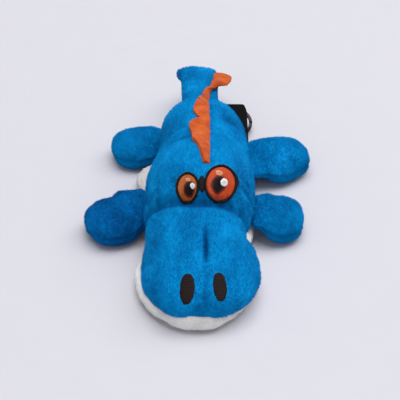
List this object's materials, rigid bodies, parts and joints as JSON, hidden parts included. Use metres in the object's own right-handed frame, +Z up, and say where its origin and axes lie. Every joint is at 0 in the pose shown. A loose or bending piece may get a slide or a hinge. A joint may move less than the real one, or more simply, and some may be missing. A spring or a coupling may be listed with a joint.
{
  "type": "plush keychain",
  "caption": "Stuffed plush crocodile lying on its belly, with scalloped crest, embroidered face, swinging tail and legs, and a webbing strap with a split key ring.",
  "frame": {"origin": "on the table under the middle of the animal: the bottom centre of its bounding box", "axes": "+Y from nose to tail tip, +X towards the animal's left, +Z up"},
  "size_m": [0.1052, 0.1704, 0.0439],
  "materials": {
    "blue_plush": "matte",
    "white_plush": "matte",
    "orange_velour": "matte",
    "polyester_fill": "matte",
    "black_thread": "matte",
    "red_orange_thread": "matte",
    "amber_thread": "matte",
    "pupil_thread": "matte",
    "white_thread": "matte",
    "nostril_thread": "matte",
    "black_webbing": "matte",
    "ring_steel": "satin"
  },
  "bodies": {
    "torso": {"muzzle_panel": "blue_plush", "jaw_panel": "white_plush", "belly_panel": "white_plush", "back_panel_left": "blue_plush", "back_panel_right": "blue_plush", "snout_stuffing": "polyester_fill", "body_stuffing": "polyester_fill", "eye_right_outline": "black_thread", "eye_right_iris": "amber_thread", "eye_right_pupil": "pupil_thread", "eye_right_glint": "white_thread", "eye_left_outline": "black_thread", "eye_left_iris": "red_orange_thread", "eye_left_pupil": "pupil_thread", "eye_left_glint": "white_thread", "nostril_right": "nostril_thread", "nostril_left": "nostril_thread", "crest_back": "orange_velour", "strap_anchor": "black_webbing"},
    "tail": {"tail_panel_left": "blue_plush", "tail_panel_right": "blue_plush", "tail_stuffing": "polyester_fill", "crest_tail": "orange_velour"},
    "leg_front_right": {"leg_front_right_top": "blue_plush", "leg_front_right_under": "blue_plush", "leg_front_right_stuffing": "polyester_fill"},
    "leg_front_left": {"leg_front_left_top": "blue_plush", "leg_front_left_under": "blue_plush", "leg_front_left_stuffing": "polyester_fill"},
    "leg_rear_right": {"leg_rear_right_top": "blue_plush", "leg_rear_right_under": "blue_plush", "leg_rear_right_stuffing": "polyester_fill"},
    "leg_rear_left": {"leg_rear_left_top": "blue_plush", "leg_rear_left_under": "blue_plush", "leg_rear_left_stuffing": "polyester_fill"},
    "strap": {"strap_loop": "black_webbing", "strap_bar_tack": "black_webbing"},
    "ring": {"key_ring": "ring_steel"}
  },
  "joints": [
    {"name": "leg_front_right_flap", "type": "hinge", "parent": "torso", "child": "leg_front_right", "pos_m": [-0.0284, -0.01575, 0.01011], "axis": [-0.454, 0.891, 0], "range_deg": [-30, 40], "stiffness_Nm_per_rad": 0.004},
    {"name": "leg_front_left_flap", "type": "hinge", "parent": "torso", "child": "leg_front_left", "pos_m": [0.02501, -0.01925, 0.01024], "axis": [0, -1, 0], "range_deg": [-30, 40], "stiffness_Nm_per_rad": 0.004},
    {"name": "leg_rear_right_flap", "type": "hinge", "parent": "torso", "child": "leg_rear_right", "pos_m": [-0.02064, 0.03125, 0.00837], "axis": [-0.0349, 0.9994, 0], "range_deg": [-30, 40], "stiffness_Nm_per_rad": 0.004},
    {"name": "leg_rear_left_flap", "type": "hinge", "parent": "torso", "child": "leg_rear_left", "pos_m": [0.02459, 0.01675, 0.00864], "axis": [0.3746, -0.9272, 0], "range_deg": [-30, 40], "stiffness_Nm_per_rad": 0.004},
    {"name": "tail_swing", "type": "hinge", "parent": "torso", "child": "tail", "pos_m": [0, 0.04025, 0.0178], "axis": [0, 0, 1], "range_deg": [-18, 18], "stiffness_Nm_per_rad": 0.01},
    {"name": "strap_bend", "type": "hinge", "parent": "torso", "child": "strap", "pos_m": [0.016, 0.04325, 0.0072], "axis": [1, 0, 0], "range_deg": [-70, 0], "stiffness_Nm_per_rad": 0.003},
    {"name": "ring_swing", "type": "hinge", "parent": "strap", "child": "ring", "pos_m": [0.016, 0.06375, 0.0072], "axis": [1, 0, 0], "range_deg": [0, 158]}
  ]
}
